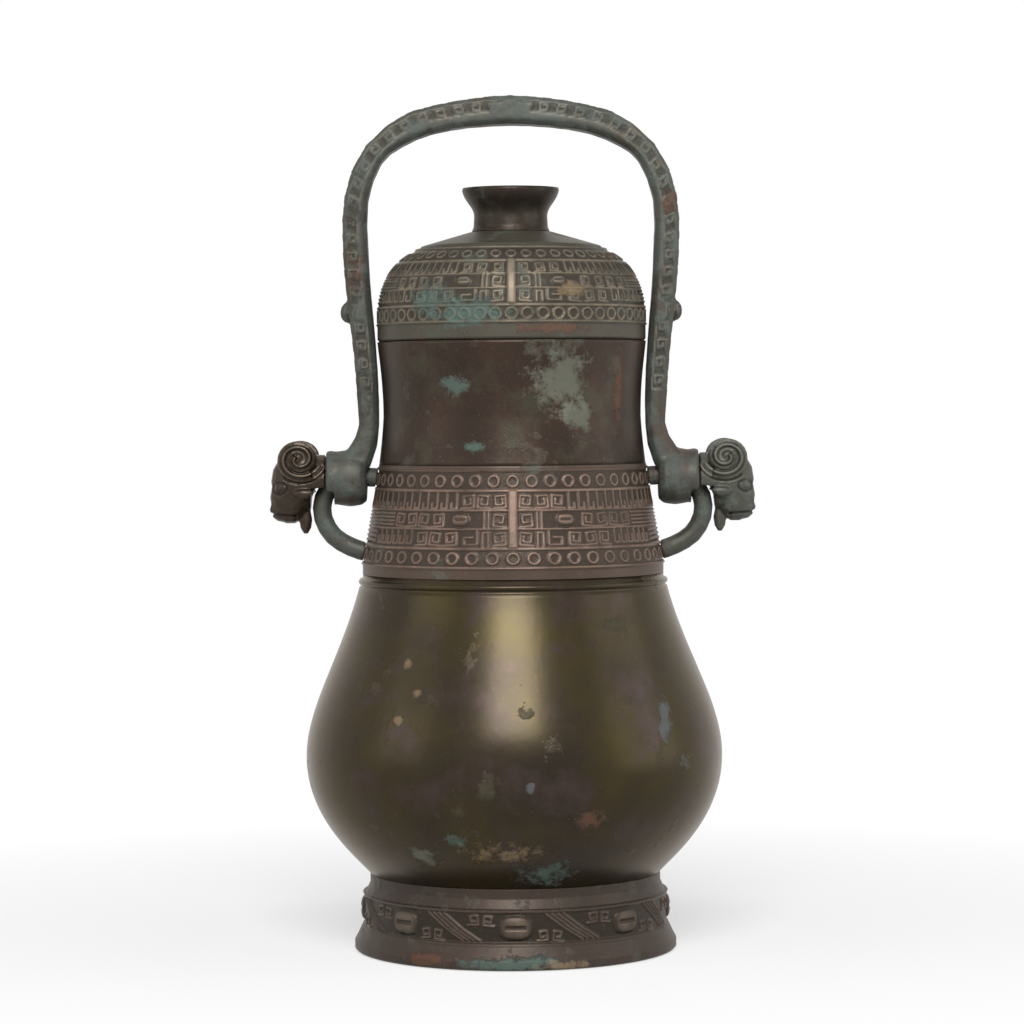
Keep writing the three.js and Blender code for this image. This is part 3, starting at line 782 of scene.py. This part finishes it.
def bronze(name, look):
    material = bpy.data.materials.new(name)
    material.use_nodes = True
    tree = material.node_tree
    shader = tree.nodes["Principled BSDF"]
    shader.inputs["Specular IOR Level"].default_value = bronzeSet["specular"]
    shader.inputs["Specular Tint"].default_value = bronzeSet["specularTint"]
    coords = addNode(tree, "ShaderNodeTexCoord").outputs["Object"]
    cloudy = noiseMask(tree, coords, look["cloud"], *bronzeSet["cloudRange"])
    colour = mixColour(tree, cloudy, look["base"], look["second"])
    blotch = noiseMask(tree, coords, look["cloud"] * bronzeSet["blotchScale"], *bronzeSet["blotchRange"])
    colour = mixColour(tree, blotch, colour, look["third"])
    if "lines" in look:
        relief = addNode(tree, "ShaderNodeAttribute", attribute_name="relief").outputs["Fac"]
        colour = mixColour(tree, spread(tree, relief, bronzeSet["sunk"]), colour, look["recess"])
        raised = spread(tree, relief, bronzeSet["raised"])
        worn = maths(tree, "MULTIPLY", raised, noiseMask(tree, coords, *bronzeSet["wear"]))
        colour = mixColour(tree, worn, colour, look["lines"])
    crust = noiseMask(tree, coords, look["crustScale"], *look["crustRange"], bronzeSet["crustDetail"])
    colour = mixColour(tree, crust, colour, look["crust"])
    rough = crust
    for tint, centre, size in look.get("patches", []):
        mask = maths(tree, "MULTIPLY", patchMask(tree, coords, centre, size), patchSet["cover"])
        colour = mixColour(tree, mask, colour, tint)
        rough = maths(tree, "MAXIMUM", rough, maths(tree, "MULTIPLY", mask, patchSet["crust"]))
    speck = maths(tree, "MULTIPLY", noiseMask(tree, coords, *bronzeSet["speck"]), bronzeSet["speckShare"])
    colour = mixColour(tree, speck, colour, look["speck"])
    tree.links.new(colour, shader.inputs["Base Color"])
    roughness = spread(tree, rough, toRange=(look["roughness"], bronzeSet["crustRoughness"]))
    tree.links.new(roughness, shader.inputs["Roughness"])
    metal = spread(tree, rough, toRange=(look["metal"], bronzeSet["crustMetal"]))
    tree.links.new(metal, shader.inputs["Metallic"])
    grain = noise(tree, coords, *bronzeSet["grain"])
    pitted = maths(tree, "MULTIPLY", grain, rough)
    fine = maths(tree, "MULTIPLY", grain, look.get("grain", bronzeSet["grainShare"]))
    bump = addNode(
        tree, "ShaderNodeBump", Strength=bronzeSet["bump"], Distance=bronzeSet["bumpDistance"])
    tree.links.new(maths(tree, "ADD", fine, pitted), bump.inputs["Height"])
    tree.links.new(bump.outputs[0], shader.inputs["Normal"])
    return material


# Colours of the patches, then one look for each piece.
teal, sand, rust = (0.075, 0.125, 0.108), (0.2, 0.14, 0.08), (0.1, 0.045, 0.028)
# steel-blue: a stain colour that also paints a sheen on the belly
greyGreen, purple, steelStainAndSheen = (0.125, 0.135, 0.105), (0.04, 0.027, 0.024), (0.085, 0.1, 0.105)
darkBrown = (0.028, 0.02, 0.015)

looks = {
    "belly": {
        "base": (0.037, 0.028, 0.009), "second": (0.023, 0.017, 0.012), "third": purple,
        "cloud": 17, "crust": (0.048, 0.046, 0.029), "crustScale": 44, "crustRange": (0.62, 0.78),
        "speck": (0.084, 0.065, 0.039), "roughness": 0.27, "metal": 0.55, "grain": 0.05,
        "patches": [
            (teal, (-21.6, -77, 62.6), (14, 12, 8)), (greyGreen, (-38, -67, 53.2), (12, 12, 7)),
            (teal, (13.6, -71, 46), (15, 12, 8)), (sand, (-5.2, -78, 55.5), (22, 14, 7)),
            (sand, (-48.3, -70, 138.6), (2.6, 5, 3.2)), (sand, (-43.6, -76, 125.9), (2.4, 5, 2.4)),
            # the steel-blue streaks on the right of the belly are painted sheen, laid on as rough stains
            (sand, (-52.1, -77, 114.2), (2.6, 5, 2.8)), (steelStainAndSheen, (68, -64, 112), (4, 12, 13)),
            (steelStainAndSheen, (76, -52, 94), (4, 12, 8)), (steelStainAndSheen, (7, -96, 85), (2.4, 8, 3)),
            (rust, (34, -86, 70), (8, 12, 5)),
        ],
    },
    "neck": {
        "base": (0.034, 0.02, 0.014), "second": (0.022, 0.015, 0.011), "third": (0.036, 0.031, 0.02),
        "cloud": 24, "crust": (0.068, 0.068, 0.054), "crustScale": 60, "crustRange": (0.6, 0.76),
        "speck": (0.102, 0.082, 0.054), "roughness": 0.38, "metal": 0.45,
        "patches": [
            (greyGreen, (23, -56, 266), (17, 12, 18)), (greyGreen, (30, -54, 250), (10, 12, 10)),
            (teal, (-26.3, -55, 264.4), (8, 9, 6)), (rust, (48.8, -37, 262), (3, 9, 20)),
            (teal, (-17, -58, 236), (5, 9, 3)),
        ],
    },
    "band": {
        "base": (0.07, 0.046, 0.035), "second": (0.054, 0.038, 0.029), "third": (0.063, 0.051, 0.039),
        "lines": (0.167, 0.112, 0.086), "recess": (0.031, 0.022, 0.017),
        "cloud": 26, "crust": (0.091, 0.095, 0.077), "crustScale": 60, "crustRange": (0.62, 0.76),
        "speck": (0.154, 0.112, 0.077), "roughness": 0.42, "metal": 0.35,
    },
    "cover": {
        "base": (0.059, 0.052, 0.039), "second": (0.044, 0.041, 0.033), "third": (0.05, 0.053, 0.041),
        "lines": (0.159, 0.127, 0.089), "recess": (0.03, 0.025, 0.019),
        "cloud": 24, "crust": (0.077, 0.089, 0.074), "crustScale": 55, "crustRange": (0.58, 0.74),
        "speck": (0.142, 0.112, 0.077), "roughness": 0.45, "metal": 0.3,
        "patches": [(teal, (-20, -58, 297), (24, 16, 8)), (teal, (-36, -48, 304), (14, 14, 9)),
                    (rust, (20, -59, 290), (22, 12, 3)), (sand, (26, -52, 308), (9, 12, 4))],
    },
    "knob": {
        "base": (0.024, 0.018, 0.013), "second": (0.017, 0.013, 0.01), "third": (0.035, 0.034, 0.025),
        "cloud": 40, "crust": (0.07, 0.077, 0.063), "crustScale": 90, "crustRange": (0.6, 0.76),
        "speck": (0.084, 0.07, 0.049), "roughness": 0.42, "metal": 0.4,
    },
    "foot": {
        "base": (0.04, 0.028, 0.022), "second": (0.03, 0.022, 0.018), "third": (0.043, 0.036, 0.028),
        "lines": (0.092, 0.068, 0.051), "recess": (0.02, 0.015, 0.011),
        "cloud": 28, "crust": (0.073, 0.073, 0.059), "crustScale": 70, "crustRange": (0.58, 0.76),
        "speck": (0.119, 0.092, 0.066), "roughness": 0.45, "metal": 0.35,
        "patches": [(teal, (0, -75, 3), (34, 12, 3.6)), (sand, (22, -74, 2), (16, 12, 2.6)),
                    (rust, (-40, -63, 4), (18, 12, 4))],
    },
    "bail": {
        "base": (0.066, 0.074, 0.065), "second": (0.046, 0.044, 0.035), "third": (0.055, 0.041, 0.033),
        "lines": (0.109, 0.098, 0.076), "recess": (0.027, 0.027, 0.022),
        "cloud": 34, "crust": (0.087, 0.104, 0.093), "crustScale": 90, "crustRange": (0.5, 0.72),
        "speck": (0.109, 0.098, 0.076), "roughness": 0.5, "metal": 0.25,
        "patches": [(rust, (-76, 0, 320), (9, 14, 16)), (darkBrown, (-70, 0, 262), (9, 14, 20)),
                    (darkBrown, (-72, 0, 345), (8, 14, 14)), (rust, (74, 0, 350), (8, 14, 10))],
    },
    "leftHead": {
        "base": (0.044, 0.032, 0.023), "second": (0.032, 0.024, 0.017), "third": (0.027, 0.02, 0.014),
        "lines": (0.101, 0.077, 0.054), "recess": (0.013, 0.01, 0.008),
        "cloud": 40, "crust": (0.071, 0.077, 0.062), "crustScale": 110, "crustRange": (0.6, 0.76),
        "speck": (0.107, 0.083, 0.06), "roughness": 0.32, "metal": 0.45,
    },
    "rightHead": {
        "base": (0.068, 0.076, 0.065), "second": (0.05, 0.05, 0.04), "third": (0.05, 0.04, 0.032),
        "lines": (0.122, 0.119, 0.094), "recess": (0.022, 0.02, 0.017),
        "cloud": 40, "crust": (0.108, 0.13, 0.112), "crustScale": 110, "crustRange": (0.52, 0.72),
        "speck": (0.144, 0.122, 0.086), "roughness": 0.45, "metal": 0.3,
    },
}


def finishPiece(piece, look, body, slot, *nodes):
    piece.data.materials.append(materials[look])
    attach(piece, body)
    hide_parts(*nodes)


materials = {name: bronze("bronze_" + name, look) for name, look in looks.items()}
belly, band, plain = buildVessel(vesselSet)
for piece, look in ((belly, "belly"), (band, "band"), (plain, "neck")):
    finishPiece(piece, look, "vessel", "body_bronze", "vessel_body")
finishPiece(buildFoot(footSet), "foot", "vessel", "foot_bronze", "foot_ring")
cover, flange, knob = buildCover()
finishPiece(cover, "cover", "cover", "cover_bronze", "cover_dome")
finishPiece(flange, "cover", "cover", "cover_bronze", "cover_flange")
finishPiece(knob, "knob", "cover", "cover_bronze", "cover_knob")
handle = buildHandle()
finishPiece(handle["bail"], "bail", "swinging_bail", "patinated_bronze", "bail")
for side in ("left", "right"):
    head = side + "_ram_head"
    finishPiece(handle[head], side + "Head", "swinging_bail", "patinated_bronze", head)
    finishPiece(handle[side + "_lug"], "bail", "vessel", "patinated_bronze", side + "_lug")
print("stage: materials")


# Floor, world and lamps: white all round, with a soft shadow to the left.
stageSet = {
    "floor": 6.0, "drop": 0.0004, "tone": 0.95, "clear": (0.16, 0.5), "clearNear": 0.62,
    "world": 0.14, "aim": (0, 0, 0.2),
}
lampSet = {
    "front": {"at": (-0.02, -1.35, 1.15), "size": 0.75, "power": 30},
    "right": {"at": (1.3, -0.3, 0.5), "size": 1.0, "power": 5},
    "left": {"at": (-1.3, -0.6, 0.6), "size": 0.8, "power": 3},
}


def seenRays(tree):
    # rays that should meet the white background: the camera's, and those off metal
    path = addNode(tree, "ShaderNodeLightPath")
    mirrored = maths(tree, "MAXIMUM", path.outputs["Is Glossy Ray"], path.outputs["Is Transmission Ray"])
    return maths(tree, "MAXIMUM", path.outputs["Is Camera Ray"], mirrored)


def buildFloor(settings):
    mesh = bpy.data.meshes.new("floor")
    half = settings["floor"]
    corners = [(-half, -half, 0), (half, -half, 0), (half, half, 0), (-half, half, 0)]
    mesh.from_pydata(corners, [], [(0, 1, 2, 3)])
    floor = newObject("floor", mesh)
    floor.location.z = -settings["drop"]
    material = bpy.data.materials.new("floor_white")
    material.use_nodes = True
    tree = material.node_tree
    tree.nodes.clear()
    coords = addNode(tree, "ShaderNodeTexCoord").outputs["Object"]
    length = vectorMaths(tree, "LENGTH", coords).outputs["Value"]
    clear = spread(tree, length, settings["clear"], (settings["clearNear"], 1))
    tone = settings["tone"]
    matt = addNode(tree, "ShaderNodeBsdfDiffuse", Color=(tone, tone, tone, 1))
    glow = addNode(tree, "ShaderNodeEmission", Color=(1, 1, 1, 1), Strength=1)
    mix = addNode(tree, "ShaderNodeMixShader")
    tree.links.new(maths(tree, "MULTIPLY", clear, seenRays(tree)), mix.inputs[0])
    tree.links.new(matt.outputs[0], mix.inputs[1])
    tree.links.new(glow.outputs[0], mix.inputs[2])
    output = addNode(tree, "ShaderNodeOutputMaterial")
    tree.links.new(mix.outputs[0], output.inputs[0])
    mesh.materials.append(material)


def buildWorld(settings):
    world = bpy.data.worlds.new("world")
    bpy.context.scene.world = world
    world.use_nodes = True
    tree = world.node_tree
    background = tree.nodes["Background"]
    background.inputs["Color"].default_value = (1, 1, 1, 1)
    strength = spread(tree, seenRays(tree), toRange=(settings["world"], 1))
    tree.links.new(strength, background.inputs["Strength"])


def buildLamps(lamps, aim):
    for name, lamp in lamps.items():
        light = bpy.data.lights.new(name, "AREA")
        light.size = lamp["size"]
        light.energy = lamp["power"]
        made = bpy.data.objects.new(name, light)
        bpy.context.scene.collection.objects.link(made)
        made.location = lamp["at"]
        x, y, z = [end - start for end, start in zip(aim, lamp["at"])]
        made.rotation_euler = (math.atan2(math.hypot(x, y), -z), 0, math.atan2(y, x) - math.pi / 2)


buildFloor(stageSet)
buildWorld(stageSet)
buildLamps(lampSet, stageSet["aim"])
bpy.context.scene.view_settings.view_transform = "Standard"
print("stage: stage and lamps")
